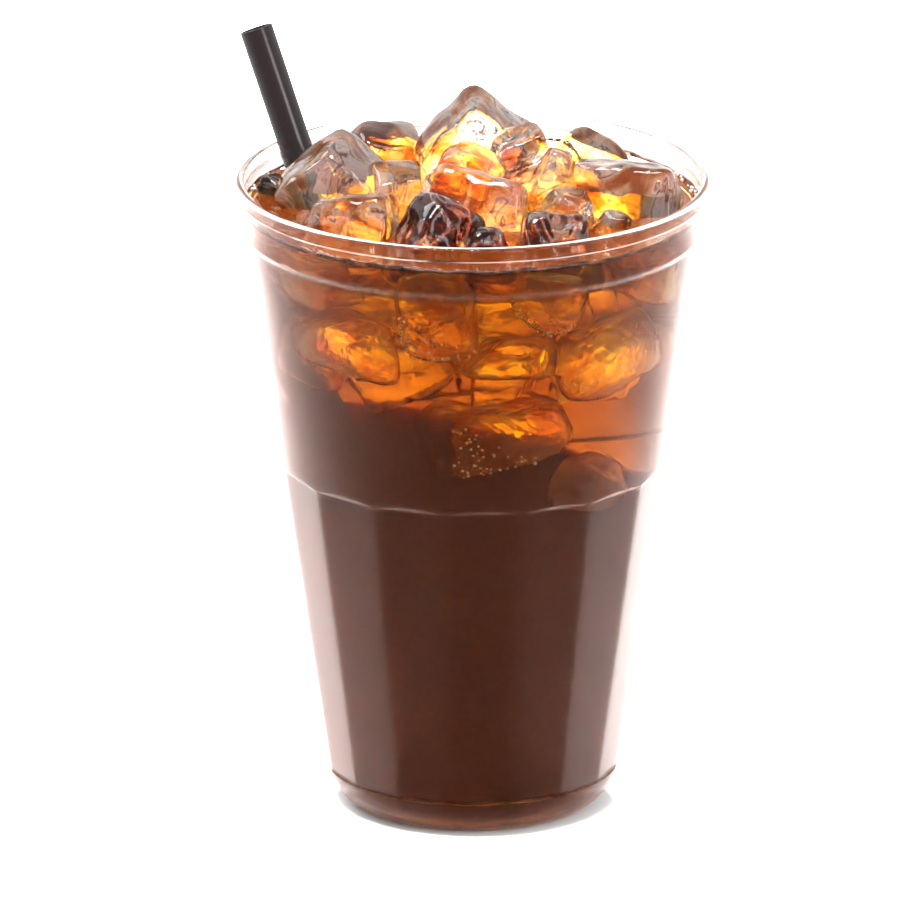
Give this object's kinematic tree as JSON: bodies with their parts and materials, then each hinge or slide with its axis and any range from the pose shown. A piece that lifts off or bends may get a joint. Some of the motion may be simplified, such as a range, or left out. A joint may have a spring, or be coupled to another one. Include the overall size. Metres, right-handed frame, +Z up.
{
  "type": "iced coffee",
  "caption": "Black iced coffee in a tall clear plastic tumbler with flat panels on its lower wall, heaped with clear ice and holding a leaning straw.",
  "frame": {"origin": "centre of the ring that the tumbler stands on", "axes": "+Z up along the tumbler's axis; the front faces -Y; the straw leans out to the back left"},
  "size_m": [0.098, 0.098, 0.1598],
  "materials": {
    "clear_plastic": "smooth clear moulded plastic",
    "coffee": "clear dark liquid, amber where thin",
    "straw_plastic": "glossy black plastic",
    "ice": "wet clear ice"
  },
  "bodies": {
    "root": {"cup": "clear_plastic", "coffee": "coffee", "straw": "straw_plastic", "ice_right_back": "ice", "ice_back_peak": "ice", "ice_left_peak": "ice", "ice_back_left": "ice", "ice_front_left": "ice", "ice_left_middle": "ice", "ice_centre_back": "ice", "ice_centre_front": "ice", "ice_front_dark": "ice", "ice_front_chip": "ice", "ice_back_right": "ice", "ice_centre_tall": "ice", "ice_right_large": "ice", "ice_right_oval": "ice", "ice_front_right": "ice", "ice_right_chip": "ice", "ice_left_chip": "ice"}
  },
  "joints": []
}
